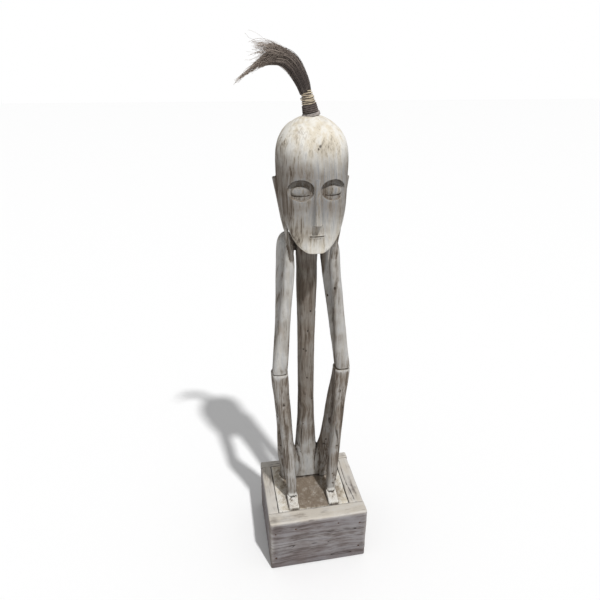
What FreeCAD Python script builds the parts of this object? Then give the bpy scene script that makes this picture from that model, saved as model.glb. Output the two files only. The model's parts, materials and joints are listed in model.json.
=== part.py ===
"""Carved ancestor figure: a squatting figure cut from one log, boxed in by four base boards,
with a removable hair plume pegged into its crown.

Frame: the origin is on the floor under the middle of the log, +Z is up and the face looks along -Y.
All sizes are in millimetres.
"""

import FreeCAD
import Part
import math
import os

V = FreeCAD.Vector
X_AXIS = V(1, 0, 0)
Y_AXIS = V(0, 1, 0)
Z_AXIS = V(0, 0, 1)
ORIGIN = V(0, 0, 0)

# ---- The log, whose uncut foot is the plinth -----------------------------------------------
log_width = 206.0
log_depth = 186.0
plinth_height = 175.0
plinth_edge = 2.5            # worn radius along the plinth's top edges

# ---- The four boards round the plinth ------------------------------------------------------
front_board_thickness = 41.0
back_board_thickness = 28.0
left_board_thickness = 30.0
right_board_thickness = 43.0
board_gap = 1.6              # shrinkage gap between a board and the plinth
butt_gap = 0.4               # gap at each butt joint
board_edge = 7.0             # worn radius along the boards' outer edges

# ---- Nails ---------------------------------------------------------------------------------
nail_radius = 2.0
nail_length = 78.0
nail_head_radius = 3.6
nail_head_thickness = 1.6
nail_point = 6.0             # length of the pointed end
nail_tip_radius = 0.4
nail_sink = 0.8              # how far a head lies under the board's face
nail_clearance = 0.05
nail_low = 42.0              # heights of the two rows of nails
nail_high = 136.0
plinth_nail_spacing = 124.0  # between the two nails that hold a wide board to the plinth

# ---- Limbs: lengths, and where each joint of the body lies ---------------------------------
leg_length = 427.0           # plinth to the top of the knee
arm_length = 361.0           # knee to the top of the shoulder
knee_out = 84.0              # from the middle plane to the knee's centre
knee_y = -25.0
ankle_out = 58.0
ankle_y = -47.0
hip_out = 42.0
hip_y = 56.0
shoulder_out = 51.0
shoulder_y = 50.0
wrist_out = 49.0
wrist_y = -22.0

knee_width = 41.0
elbow_width = 38.0
elbow_depth = 43.0
wrist_width = 27.0
wrist_depth = 31.0
upper_arm_width = 38.0
shoulder_width = 47.0
shoulder_depth = 50.0
shin_width = 32.0
shin_depth = 36.0
ankle_width = 25.0
ankle_depth = 26.0
thigh_width = 44.0
thigh_depth = 40.0
hip_width = 74.0
hip_depth = 60.0
elbow_groove = 4.5           # height of the groove cut between elbow and knee
elbow_groove_depth = 6.5

foot_width = 29.0
toe_thickness = 11.0
instep_height = 27.0
toe_setback = 1.0            # from the plinth's front face to the toes

# ---- Torso ---------------------------------------------------------------------------------
torso_y = 49.0
torso_depth = 49.0
waist_width = 47.0
chest_width = 55.0
neck_width = 72.0
neck_top_y = 14.0            # the neck leans forward into the head
pelvis_width = 96.0
undercut_height = 13.0       # of the groove under the front of the pelvis
undercut_half_width = 40.0
root_overlap = 4.0           # how far the limbs are modelled down into the plinth

# ---- Head ----------------------------------------------------------------------------------
head_height = 304.0
head_width = 164.0
head_depth = 164.0
head_y = 2.0
chin_drop = 27.0             # the chin hangs this far under the shoulder tops
skull_squareness = 2.15      # how square the head's outline is at the back, 2 being an ellipse
face_squareness = 2.9        # and at the front
hand_thickness = 11.0
heel_width = 22.0            # of the hand's heel, which runs out of the forearm
hand_width = 38.0
finger_width = 27.0
finger_stand = 2.0           # from the head's widest point out to the middle of the finger tips
finger_y = 0.0               # fore-aft middle of the finger tips
hand_overlap = 17.0          # how far the forearm runs on behind the hand

nose_width = 25.0
nose_root_width = 14.0
nose_root_height = 1.5
nose_height = 18.0
socket_width = 58.0
socket_height = 46.0
socket_depth = 12.0
socket_turn = 12.0           # degrees that each hollow's floor turns back towards the temple
eyelid_width = 44.0
eyelid_height = 23.0
eyelid_rise = 7.0
mouth_width = 38.0
mouth_height = 4.2
mouth_depth = 5.0
lip_rise = 2.0

# ---- Plume ---------------------------------------------------------------------------------
peg_radius = 5.5
peg_clearance = 0.06
peg_depth = 34.0             # length of the peg in the crown
socket_spare = 3.0           # free depth under the peg
plume_lean = 13.0            # degrees that the peg leans towards -X
collar_height = 9.5
collar_radius = 20.5
cord_wrap_height = 16.0
cord_wrap_radius = 18.2
rattan_wrap_height = 29.0
rattan_wrap_radius = 16.4
rattan_wrap_top_radius = 11.0
wrap_thickness = 2.6
wrap_clearance = 0.15
wrap_spacing = 0.2           # gap between one wrap and the next
collar_margin = 1.0          # between the collar and the wall of its seat
seat_sink = 4.5              # how far the seat's middle lies under the crown
seat_gap = 0.3               # between the seat and the bound root
peg_spare = 14.0             # how far the peg ends under the top of the wraps
peg_taper = 3.0              # length of the peg's upper chamfer

# Centre line of the hair from the top of the wraps, as sideways, fore-aft and upward steps,
# with the tuft's width there.
hair_line = [
    (0.0, 0.0, 0.0, 21.0),
    (-11.5, 1.0, 27.5, 30.0),
    (-25.5, 2.0, 51.0, 38.0),
    (-43.5, 3.0, 69.0, 44.0),
    (-65.0, 4.0, 74.0, 45.0),
    (-88.0, 4.0, 63.0, 32.0),
    (-117.0, 4.0, 44.0, 16.0),
    (-151.0, 4.0, 17.0, 6.0),
]
hair_steps = 14
hair_flatness = 0.8          # fore-aft thickness of the tuft as a share of its width

# ---- Places that follow from the sizes above -----------------------------------------------
knee_z = plinth_height + leg_length
shoulder_z = knee_z + arm_length
chin_z = shoulder_z - chin_drop
crown_z = chin_z + head_height
eye_z = chin_z + head_height * 0.5          # a head's eyes lie half-way up it
nose_base_z = (chin_z + eye_z) / 2          # the nose ends half-way from eyes to chin
mouth_z = nose_base_z - (nose_base_z - chin_z) / 3
brow_z = eye_z + socket_height * 0.5
finger_z = eye_z + socket_height * 0.4
finger_out = head_width / 2 + finger_stand
block_left = -log_width / 2 - board_gap - left_board_thickness
block_right = log_width / 2 + board_gap + right_board_thickness
block_front = -log_depth / 2 - board_gap - front_board_thickness
block_back = log_depth / 2 + board_gap + back_board_thickness
widest_share = 0.70          # share of the head's height at which it is widest


# ---- Small tools ---------------------------------------------------------------------------
def outline(x, y, z, width, depth, squareness=2.3, front=None, count=16):
    """A closed smooth wire round (x, y) at height z: an ellipse at squareness 2, squarer above.

    front is the squareness of the half towards -Y where that differs.
    """
    points = []
    for i in range(count):
        a = 2 * math.pi * i / count
        c, s = math.cos(a), math.sin(a)
        power = (front or squareness) if s < 0 else squareness
        reach = (abs(c) ** power + abs(s) ** power) ** (-1 / power)
        points.append(V(x + c * reach * width / 2, y + s * reach * depth / 2, z))
    curve = Part.BSplineCurve()
    curve.interpolate(Points=points, PeriodicFlag=True)
    return Part.Wire([curve.toShape()])


def eased(rows, steps):
    """Rows of numbers at even steps of their first one, on smooth curves that never overshoot."""
    at = [row[0] for row in rows]
    gaps = [b - a for a, b in zip(at, at[1:])]
    columns = []
    for values in list(zip(*rows))[1:]:
        slopes = [(b - a) / gap for a, b, gap in zip(values, values[1:], gaps)]
        inner = [2 * p * q / (p + q) if p * q > 0 else 0.0 for p, q in zip(slopes, slopes[1:])]
        columns.append((values, [slopes[0]] + inner + [slopes[-1]]))
    result = []
    for step in range(steps + 1):
        x = between(at[0], at[-1], step / steps)
        i = max(0, min(len(gaps) - 1, sum(1 for a in at[1:] if a <= x)))
        t, gap = (x - at[i]) / gaps[i], gaps[i]
        row = [x]
        for values, slope in columns:
            row.append(values[i] * (1 + 2 * t) * (1 - t) ** 2 + values[i + 1] * t * t * (3 - 2 * t)
                       + gap * (slope[i] * t * (1 - t) ** 2 - slope[i + 1] * t * t * (1 - t)))
        result.append(row)
    return result


def loft(stations, squareness=2.3, front=None):
    """A solid through level outlines, each given as (x, y, z, width, depth)."""
    wires = [outline(*station, squareness=squareness, front=front) for station in stations]
    return Part.makeLoft(wires, True, False)


def limb(rows, steps, squareness=2.3):
    """A smooth solid through level outlines, each given as (z, x, y, width, depth)."""
    return loft([(x, y, z, w, d) for z, x, y, w, d in eased(rows, steps)], squareness=squareness)


def between(low, high, share):
    return low + (high - low) * share


def mirrored(shape):
    """The same shape on the other side of the middle plane."""
    return shape.mirror(ORIGIN, X_AXIS)


def box(x0, x1, y0, y1, z0, z1):
    return Part.makeBox(x1 - x0, y1 - y0, z1 - z0, V(x0, y0, z0))


def ellipsoid(centre, rx, ry, rz):
    """An ellipsoid with its half-axes along X, Y and Z."""
    scale = FreeCAD.Matrix()
    scale.scale(rx, ry, rz)
    ball = Part.makeSphere(1.0).transformGeometry(scale)
    ball.translate(centre)
    return ball


def edges_where(shape, test):
    """The edges of shape whose two ends both pass the test."""
    return [e for e in shape.Edges if all(test(v.Point) for v in e.Vertexes)]


def export(shape, name):
    """Writes one node, after checking that every piece in it is a sound solid."""
    for solid in shape.Solids:
        if not solid.isValid() or solid.Volume <= 0:
            raise ValueError(name + " holds an unsound solid")
    shape.exportStep(os.path.join("parts", name + ".step"))
    print(name, len(shape.Solids), "solid(s)", round(shape.Volume / 1000, 1), "cm3")


# ---- Head ----------------------------------------------------------------------------------
def dome(share):
    """Share of full width left at a share of the way from the widest level to the crown."""
    return math.sqrt(max(0.0, 1 - share ** 2.3))


def head_half_width(u):
    """Half the head's width at share u of its height above the chin."""
    if u >= widest_share:
        return head_width / 2 * dome((u - widest_share) / (1 - widest_share))
    return head_width / 2 * (1 - (1 - u / widest_share) ** 2.6) ** 0.5


def head_front(u):
    """Y of the head's front at share u: a long flat face that rounds over at the forehead."""
    rise = max(0.0, (u - 0.56) / 0.44)
    return head_y - head_depth / 2 * dome(rise) * between(0.94, 1.0, min(1.0, u / 0.3))


def head_back(u):
    """Y of the head's back at share u: it sweeps back from the jaw to a full skull."""
    s = min(1.0, u / 0.58)
    sweep = between(-0.60, 1.0, s * s * (3 - 2 * s))
    rise = max(0.0, (u - 0.6) / 0.4)
    return head_y + head_depth / 2 * sweep * dome(rise)


def head_station(u):
    front, back = head_front(u), head_back(u)
    return (0, (front + back) / 2, chin_z + head_height * u, 2 * head_half_width(u), back - front)


def make_head():
    levels = 12
    low, high = 0.018, 0.992
    shares = [between(low, high, (1 - math.cos(math.pi * i / levels)) / 2) for i in range(levels + 1)]
    return loft([head_station(u) for u in shares], squareness=skull_squareness, front=face_squareness)


def make_nose():
    """A straight wedge: level sections that widen and stand further out towards its base."""
    wires = []
    for share in (0.0, 0.5, 1.0):
        z = between(brow_z, nose_base_z, share)
        face = head_front((z - chin_z) / head_height)
        half = between(nose_root_width, nose_width, share) / 2
        out = between(nose_root_height, nose_height, share)
        inner = face + socket_depth + 6
        ridge = half * 0.5
        corners = [V(-half, inner, z), V(-half, face + 1, z), V(-ridge, face - out, z),
                   V(ridge, face - out, z), V(half, face + 1, z), V(half, inner, z)]
        wires.append(Part.makePolygon(corners + corners[:1]))
    return Part.makeLoft(wires, True, True)


def socket_x(side):
    return side * (socket_width + nose_root_width) / 2


def make_socket(side):
    """The hollow under one brow: an arched opening, deepest under the brow, run out at the cheek."""
    x = socket_x(side)
    ring = Part.Wire([Part.Ellipse(V(0, 0, 0), socket_width / 2, socket_height / 2).toShape()])
    opening = Part.Face(ring)
    opening.rotate(ORIGIN, X_AXIS, 90)
    opening.translate(V(x, -head_depth, eye_z))
    opening = opening.extrude(V(0, head_depth, 0))
    top, bottom = eye_z + socket_height / 2, eye_z - socket_height / 2
    top_face = head_front((top - chin_z) / head_height)
    floor = [V(-head_width, -2 * head_depth, top + 5), V(-head_width, top_face + socket_depth, top + 5),
             V(-head_width, top_face + socket_depth, top - 4), V(-head_width, top_face + 1.5, bottom),
             V(-head_width, -2 * head_depth, bottom)]
    wedge = Part.Face(Part.makePolygon(floor + floor[:1])).extrude(V(2 * head_width, 0, 0))
    # The floor follows the face round towards the temple.
    wedge.rotate(V(0, head_front(0.5), 0), Z_AXIS, side * socket_turn)
    return opening.common(wedge)


def make_eyelid(side):
    """A lowered lid: a lens standing on the hollow's floor."""
    x = socket_x(side) * 0.98
    away = math.tan(math.radians(socket_turn)) * abs(x)
    middle = head_front(0.5) + socket_depth * 0.62 + away
    return ellipsoid(V(x, middle, eye_z - 3), eyelid_width / 2, eyelid_rise, eyelid_height / 2)


def make_mouth():
    """The slit between the lips, as the ellipsoid that is cut away."""
    front = head_front((mouth_z - chin_z) / head_height)
    return ellipsoid(V(0, front, mouth_z), mouth_width / 2, mouth_depth, mouth_height / 2)


def make_lips():
    front = head_front((mouth_z - chin_z) / head_height)
    return ellipsoid(V(0, front + 1, mouth_z), mouth_width * 0.62, lip_rise + 1, mouth_height * 2.1)


# ---- Body ----------------------------------------------------------------------------------
def make_torso():
    """The thin column of the trunk, from the plinth up through the neck into the head."""
    top = between(chin_z, crown_z, 0.45)
    rows = []
    for share, width, deep, lean in (
            (0.00, pelvis_width, 1.14, 0.0),
            (0.06, pelvis_width * 0.90, 1.12, 0.0),
            (0.125, waist_width * 1.40, 1.05, 0.0),
            (0.225, waist_width * 1.12, 0.97, 0.0),
            (0.33, waist_width, 0.95, 0.0),
            (0.54, waist_width, 0.95, 0.0),
            (0.74, chest_width * 0.98, 1.0, 0.0),
            (0.82, chest_width * 1.03, 1.05, 0.03),
            (0.90, neck_width, 1.05, 0.40),
            (1.00, neck_width, 1.0, 1.0)):
        z = between(plinth_height - root_overlap, top, share)
        rows.append((z, 0, between(torso_y, neck_top_y, lean), width, torso_depth * deep))
    return limb(rows, 14, squareness=2.6)


def arm_x(z):
    """X of the arms' centre line at height z; the upper arm and the forearm lean together."""
    return between(knee_out, shoulder_out, max(0.0, (z - knee_z) / arm_length) ** 0.95)


def make_upper_arm():
    base_y = knee_y + elbow_depth * 0.22
    rows = []
    for share, wide in ((0.0, 0.0), (0.30, 0.02), (0.55, 0.35), (0.78, 0.85), (0.90, 1.0)):
        z = between(knee_z + elbow_groove / 2, shoulder_z, share)
        rows.append((z, arm_x(z), between(base_y, shoulder_y, min(1.0, share * 1.1)),
                     between(upper_arm_width, shoulder_width, wide),
                     between(elbow_depth * 0.56, shoulder_depth, min(1.0, share * 1.15))))
    stations = [(x, y, z, w, d) for z, x, y, w, d in eased(rows, 9)]
    # The shoulder's round top.
    x, y, z, width, depth = stations[-1]
    for share in (0.45, 0.78, 0.96, 1.0):
        shrink = math.sqrt(1 - (share * 0.985) ** 2.4)
        stations.append((between(x, shoulder_out, share), between(y, shoulder_y, share),
                         between(z, shoulder_z, share), width * shrink, depth * shrink))
    return loft(stations)


def make_forearm():
    """From the elbow to the heel of the hand, a little above the chin."""
    y0 = knee_y - elbow_depth * 0.14
    top = chin_z + hand_overlap
    rows = []
    for share, narrow in ((0.0, 0.0), (0.05, 0.02), (0.38, 0.55), (0.60, 0.85), (0.92, 1.0)):
        z = between(knee_z + elbow_groove / 2, chin_z, share)
        rows.append((z, arm_x(z) + 1, between(y0, wrist_y, share),
                     between(elbow_width, wrist_width, narrow),
                     between(elbow_depth * 0.64, wrist_depth, narrow)))
    rows.append((top, hand_place(top)[0] - 1, wrist_y, hand_thickness * 1.15, wrist_depth * 0.75))
    return limb(rows, 11, squareness=2.7)


def hand_place(z):
    """X and Y of the hand's middle at height z, on a line from the wrist to the finger tips."""
    share = (z - chin_z) / (finger_z - chin_z)
    x = between(wrist_out + hand_thickness / 2, finger_out, share)
    return x, between(wrist_y, finger_y, share)


def make_hand():
    """A flat palm and fingers laid up the side of the head, cut off square at the tips."""
    wires = []
    for share, width in ((-0.14, heel_width), (0.03, between(heel_width, hand_width, 0.6)),
                         (0.22, hand_width), (0.6, between(hand_width, finger_width, 0.6)),
                         (1.0, finger_width)):
        z = between(chin_z, finger_z, share)
        wires.append(outline(*hand_place(z), z, hand_thickness, width, squareness=4))
    return Part.makeLoft(wires, True, False)


def make_shin():
    y0 = knee_y - elbow_depth * 0.12
    ankle_z = plinth_height + instep_height
    top = knee_z - elbow_groove / 2
    rows = [(plinth_height - root_overlap, ankle_out, ankle_y, ankle_width * 1.12, ankle_depth * 1.1),
            (ankle_z, ankle_out, ankle_y, ankle_width, ankle_depth)]
    for share, wide, knee in (
            (0.12, 0.75, 0.0), (0.34, 1.0, 0.0), (0.70, 1.0, 0.08), (0.94, 1.0, 1.0), (1.0, 1.0, 0.96)):
        width = between(ankle_width, shin_width, wide)
        depth = between(ankle_depth, shin_depth, wide)
        rows.append((between(ankle_z, top, share),
                     between(ankle_out, knee_out, share), between(ankle_y, y0, share),
                     between(width, knee_width, knee), between(depth, elbow_depth * 0.66, knee)))
    return limb(rows, 14, squareness=2.6)


def make_thigh():
    """From the buttock, which stands on the plinth, up and forward to the knee."""
    bottom = plinth_height - root_overlap
    top = knee_z - elbow_groove / 2
    y0 = knee_y + elbow_depth * 0.22
    rows = []
    for share, out, narrow in ((0.0, 0.0, 0.0), (0.09, 0.05, 0.05), (0.24, 0.38, 0.48), (0.36, 0.54, 0.84),
                               (0.52, 0.62, 1.0), (0.76, 0.80, 1.0), (0.94, 0.98, 1.0), (1.0, 1.0, 0.97)):
        rows.append((between(bottom, top, share),
                     between(hip_out, knee_out, out), between(hip_y, y0, share),
                     between(hip_width, thigh_width, narrow), between(hip_depth, thigh_depth, narrow)))
    return limb(rows, 12, squareness=2.4)


def make_knee_core():
    """The wood left inside the groove between elbow and knee."""
    width = elbow_width - 2 * elbow_groove_depth
    depth = elbow_depth - 2 * elbow_groove_depth
    return loft([(knee_out, knee_y, knee_z + z, width, depth) for z in (-12, 12)], squareness=2.8)


def make_undercut():
    """The groove that frees the front of the pelvis from the plinth, as the bar that is cut away."""
    radius = undercut_height / 2
    end = V(-undercut_half_width, torso_y - torso_depth * 0.57, plinth_height + radius)
    return Part.makeCylinder(radius, 2 * undercut_half_width, end, X_AXIS)


def make_foot():
    """A wedge from the ankle to the plinth's front face, with a flat top and a square end."""
    front = -log_depth / 2 + toe_setback
    back = ankle_y + ankle_depth * 0.35
    base = plinth_height - root_overlap
    profile = [V(0, front, base), V(0, front, plinth_height + toe_thickness),
               V(0, ankle_y - ankle_depth * 0.40, plinth_height + instep_height * 0.72),
               V(0, back, plinth_height + instep_height * 0.9), V(0, back, base)]
    face = Part.Face(Part.makePolygon(profile + profile[:1]))
    face.translate(V(ankle_out - foot_width / 2, 0, 0))
    return face.extrude(V(foot_width, 0, 0))


def make_plinth():
    block = box(-log_width / 2, log_width / 2, -log_depth / 2, log_depth / 2, 0, plinth_height)
    top = edges_where(block, lambda p: abs(p.z - plinth_height) < 0.01)
    return block.makeFillet(plinth_edge, top)


def crown_axis():
    """The middle of the plume's seat on the crown, and the way the peg points out of it."""
    lean = math.radians(plume_lean)
    return V(0, head_y, crown_z - seat_sink), V(-math.sin(lean), 0, math.cos(lean))


def joined(first, second):
    """One solid made of two that run into each other."""
    whole = first.fuse(second)
    if len(whole.Solids) != 1 or whole.Volume < max(first.Volume, second.Volume) * 1.00001:
        raise ValueError("two pieces of the figure did not join")
    return whole


def make_figure():
    figure = joined(make_plinth(), make_torso())
    for make in (make_thigh, make_foot, make_shin, make_knee_core, make_upper_arm, make_forearm):
        for place in (lambda shape: shape, mirrored):
            figure = joined(figure, place(make()))
    figure = figure.cut(make_undercut())
    head = make_head()
    for side in (-1, 1):
        head = joined(head.cut(make_socket(side)), make_eyelid(side))
    head = joined(joined(head, make_nose()), make_lips()).cut(make_mouth())
    for place in (lambda shape: shape, mirrored):
        head = joined(head, place(make_hand()))
    figure = joined(figure, head)
    seat, way = crown_axis()
    figure = figure.cut(Part.makeCylinder(collar_radius + collar_margin, head_height, seat, way))
    depth = peg_depth + socket_spare
    return figure.cut(Part.makeCylinder(peg_radius + peg_clearance, depth + 5, seat - way * depth, way))


# ---- Boards and nails ----------------------------------------------------------------------
def board(x0, x1, y0, y1, outer):
    """One board on edge, with its outer and upper edges worn round."""
    shape = box(x0, x1, y0, y1, 0, plinth_height)
    return shape.makeFillet(board_edge, edges_where(shape, outer))


def nail(point, way, grow=0.0):
    """A round nail whose head's outer face is at point, driven along way."""
    head = Part.makeCylinder(nail_head_radius + grow, nail_head_thickness + grow, point, way)
    shank = Part.makeCylinder(nail_radius + grow, nail_length - nail_point, point, way)
    tip_root = point + way * (nail_length - nail_point)
    tip = Part.makeCone(nail_radius + grow, nail_tip_radius + grow, nail_point + grow, tip_root, way)
    return head.fuse([shank, tip]).removeSplitter()


def nail_hole(point, way):
    """The room a sunk nail takes in the wood, open to the board's face."""
    depth = nail_sink + 1
    sink = Part.makeCylinder(nail_head_radius + nail_clearance, depth, point - way * depth, way)
    return nail(point, way, nail_clearance).fuse(sink)


def nail_places():
    """For each board, the head points of its nails and the way they are driven."""
    left_middle = block_left + left_board_thickness / 2
    right_middle = block_right - right_board_thickness / 2
    half = plinth_nail_spacing / 2
    front_y, back_y = block_front + nail_sink, block_back - nail_sink
    left_x, right_x = block_left + nail_sink, block_right - nail_sink
    rows = (nail_low, nail_high)
    ends = [(x, z) for x in (left_middle, right_middle) for z in rows]
    middles = [(-half, nail_high + 10), (half, nail_high + 10)]
    side_half = half * 0.75
    return {
        "front": ([V(x, front_y, z) for x, z in ends + middles], Y_AXIS),
        "back": ([V(x, back_y, z) for x, z in ends + middles], -Y_AXIS),
        "left": ([V(left_x, y, nail_low + 50) for y in (-side_half, side_half)], X_AXIS),
        "right": ([V(right_x, y, nail_low + 50) for y in (-side_half, side_half)], -X_AXIS),
    }


def make_boards():
    inner_left = -log_width / 2 - board_gap
    inner_right = log_width / 2 + board_gap
    inner_front = -log_depth / 2 - board_gap
    inner_back = log_depth / 2 + board_gap
    tiny = 0.01

    def at(value, place):
        return abs(value - place) < tiny

    def level(p):
        return at(p.z, plinth_height)

    def at_end(p):
        return at(p.x, block_left) or at(p.x, block_right)

    return {
        "front": board(block_left, block_right, block_front, inner_front,
                       lambda p: at(p.y, block_front) and (level(p) or at_end(p))),
        "back": board(block_left, block_right, inner_back, block_back,
                      lambda p: at(p.y, block_back) and (level(p) or at_end(p))),
        "left": board(block_left, inner_left, inner_front + butt_gap, inner_back - butt_gap,
                      lambda p: at(p.x, block_left) and level(p)),
        "right": board(inner_right, block_right, inner_front + butt_gap, inner_back - butt_gap,
                       lambda p: at(p.x, block_right) and level(p)),
    }


# ---- Plume ---------------------------------------------------------------------------------
def cone(low, high, r_low, r_high):
    """A frustum round the peg's axis between two distances out from the crown's flat."""
    seat, way = crown_axis()
    if abs(r_low - r_high) < 1e-6:
        return Part.makeCylinder(r_low, high - low, seat + way * low, way)
    return Part.makeCone(r_low, r_high, high - low, seat + way * low, way)


collar_top = collar_height
cord_top = collar_top + cord_wrap_height
rattan_top = cord_top + rattan_wrap_height
peg_top = rattan_top - peg_spare


def root_radius(distance):
    """Radius of the bound hair at a distance out from the crown's flat."""
    low = collar_radius - wrap_thickness
    high = rattan_wrap_top_radius - wrap_thickness
    return between(low, high, distance / rattan_top)


def wrap(low, high, r_low, r_high):
    """A binding: a tapered sleeve that clears the hair inside it."""
    under, over = low - 1, high + 1
    inner = cone(under, over, root_radius(under) + wrap_clearance, root_radius(over) + wrap_clearance)
    return cone(low, high, r_low, r_high).cut(inner)


def make_peg():
    seat, way = crown_axis()
    shank_top = peg_top - peg_taper
    shank = Part.makeCylinder(peg_radius, peg_depth + shank_top, seat - way * peg_depth, way)
    tip = Part.makeCone(peg_radius, peg_radius - peg_taper * 0.7, peg_taper, seat + way * shank_top, way)
    return shank.fuse(tip).removeSplitter()


def make_hair():
    """The bound root, bored for the peg, and the tuft that sweeps up and over to -X."""
    seat, way = crown_axis()
    start = seat + way * rattan_top
    root = cone(seat_gap, rattan_top, root_radius(seat_gap), root_radius(rattan_top))
    rows = eased([(i,) + row for i, row in enumerate(hair_line)], hair_steps)
    points = [start + V(x, y, z) for _, x, y, z, _ in rows]
    wires = []
    for i, (point, row) in enumerate(zip(points, rows)):
        along = points[min(i + 1, len(points) - 1)] - points[i - 1] if i else way
        turn = FreeCAD.Rotation(Y_AXIS, math.degrees(math.atan2(along.x, along.z)))
        ring = outline(0, 0, 0, row[4], row[4] * hair_flatness, squareness=2.0, count=12)
        ring.Placement = FreeCAD.Placement(point, turn)
        wires.append(ring)
    tuft = Part.makeLoft(wires, True, False)
    peg_room = cone(-1, peg_top + 0.5, peg_radius + peg_clearance, peg_radius + peg_clearance)
    return joined(root, tuft).cut(peg_room)


# ---- Build ---------------------------------------------------------------------------------
def main():
    os.makedirs("parts", exist_ok=True)
    figure = make_figure()
    boards = make_boards()
    for name, (points, way) in nail_places().items():
        holes = [nail_hole(point, way) for point in points]
        figure = figure.cut(holes)
        boards = {side: shape.cut(holes) for side, shape in boards.items()}
        export(Part.makeCompound([nail(point, way) for point in points]), name + "_nails")
    for side, shape in boards.items():
        export(shape, side + "_board")
    export(figure, "carved_figure")
    export(make_peg(), "plume_peg")
    export(make_hair(), "hair_tuft")
    collar_end, cord_end = collar_top - wrap_spacing, cord_top - wrap_spacing
    export(wrap(seat_gap, collar_end, collar_radius, collar_radius * 0.97), "crown_collar")
    export(wrap(collar_top, cord_end, cord_wrap_radius, cord_wrap_radius * 0.93), "cord_wrap")
    export(wrap(cord_top, rattan_top - 1, rattan_wrap_radius, rattan_wrap_top_radius), "rattan_wrap")


main()
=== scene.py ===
"""Carved ancestor figure: its wood, cords and hair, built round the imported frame.

The log and its boards are remeshed from their solids and worked over with a knife, then limewashed.
The bindings, nails and hair are laid out by node trees. Lengths are in metres, in the frame's axes:
the floor is z 0, the face looks along -Y and the plume sweeps to -X.
"""

import itertools
import json
import math

import bmesh
import bpy
import numpy as np
from mathutils import Matrix, Vector


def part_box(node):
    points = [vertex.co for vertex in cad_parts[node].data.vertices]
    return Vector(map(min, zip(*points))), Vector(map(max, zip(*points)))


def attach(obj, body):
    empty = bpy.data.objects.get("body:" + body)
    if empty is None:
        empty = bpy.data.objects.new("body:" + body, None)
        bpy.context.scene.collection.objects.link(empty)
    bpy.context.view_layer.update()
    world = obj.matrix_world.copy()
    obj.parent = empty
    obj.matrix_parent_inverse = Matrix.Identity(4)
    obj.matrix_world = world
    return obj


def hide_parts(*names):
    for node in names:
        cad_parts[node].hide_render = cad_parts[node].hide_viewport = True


bl_info = {
    "name": "Carved ancestor figure",
    "version": (1, 0, 0),
    "blender": (4, 5, 0),
    "location": "View3D > Sidebar > Ancestor figure",
    "description": "Builds the limewashed wood, the bindings and the hair of a carved ancestor figure",
    "category": "Object",
}

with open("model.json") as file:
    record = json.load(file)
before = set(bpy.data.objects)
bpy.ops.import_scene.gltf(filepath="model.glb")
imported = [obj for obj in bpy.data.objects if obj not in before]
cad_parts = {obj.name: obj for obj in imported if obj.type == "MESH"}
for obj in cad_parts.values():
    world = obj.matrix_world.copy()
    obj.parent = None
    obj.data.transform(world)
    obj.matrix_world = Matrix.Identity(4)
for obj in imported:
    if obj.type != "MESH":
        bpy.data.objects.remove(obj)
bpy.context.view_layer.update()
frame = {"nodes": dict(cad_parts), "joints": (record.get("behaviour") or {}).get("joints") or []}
COARSER = 1
FEWER = 1

# ---- Places, from the frame -----------------------------------------------------------------
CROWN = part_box("carved_figure")[1].z
PLINTH_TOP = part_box("front_board")[1].z
HEAD_HEIGHT = 0.304
CHIN = CROWN - HEAD_HEIGHT
LEG_LENGTH = 0.427                           # from the plinth's top to the groove under the elbow
KNEE = PLINTH_TOP + LEG_LENGTH
EYE_HEIGHT = CHIN + HEAD_HEIGHT * 0.5 - 0.003
EYE_OUT = 0.036                              # from the middle of the face to the middle of an eye
EYE_HALF_WIDTH = 0.022
MOUTH_HEIGHT = CHIN + HEAD_HEIGHT / 6
MOUTH_HALF_WIDTH = 0.019
WRIST_OUT = 0.0545                           # from the middle to a hand, level with the chin
HAND_SPREAD = 0.0295                         # how much further out its fingertips lie
HAND_BACK = 0.022                            # how far back its wrist lies
HAND_LENGTH = 0.1705
HAND_HALF_THICKNESS = 0.0066
TRUNK_HALF_WIDTH = 0.030
FOOT_OUT = 0.058                             # from the middle to the middle of a foot
PITH = Vector((0.004, -0.030, 0.0))          # the heart of the log, about which its rings run
PEG_RADIUS = 0.0055
PLUME_AXIS = Vector(frame["joints"][0]["axis"]).normalized()


def on_plume(distance):
    """The point of the plume's axis that lies at a distance above the peg's lower end."""
    low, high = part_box("plume_peg")
    middle = (low + high) / 2
    length = (high.z - low.z) / PLUME_AXIS.z - PEG_RADIUS * 2 * abs(PLUME_AXIS.x) / PLUME_AXIS.z
    return middle + PLUME_AXIS * (distance - length / 2)


PEG_IN_CROWN = 0.034
SEAT = on_plume(PEG_IN_CROWN)
SEAT_RADIUS = 0.0215                         # of the flat in the crown where the bindings stand
COLLAR_TOP = 0.0095                          # distances out from the seat along the plume's axis
CORD_TOP = 0.0255
RATTAN_TOP = 0.0545

# The hair's middle line: places to the side of the bindings' top, behind it and above it, each
# with half the width of the bundle there.
HAIR_LINE = [
    (-0.0010, 0.0, -0.006, 0.0105),
    (-0.0065, 0.0, 0.012, 0.0130),
    (-0.0150, 0.001, 0.029, 0.0148),
    (-0.0280, 0.002, 0.0490, 0.0172),
    (-0.0450, 0.003, 0.0620, 0.0172),
    (-0.0660, 0.004, 0.0640, 0.0135),
    (-0.0900, 0.004, 0.0570, 0.0088),
    (-0.1190, 0.004, 0.0400, 0.0058),
    (-0.1560, 0.003, 0.0110, 0.0052),
]
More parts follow.
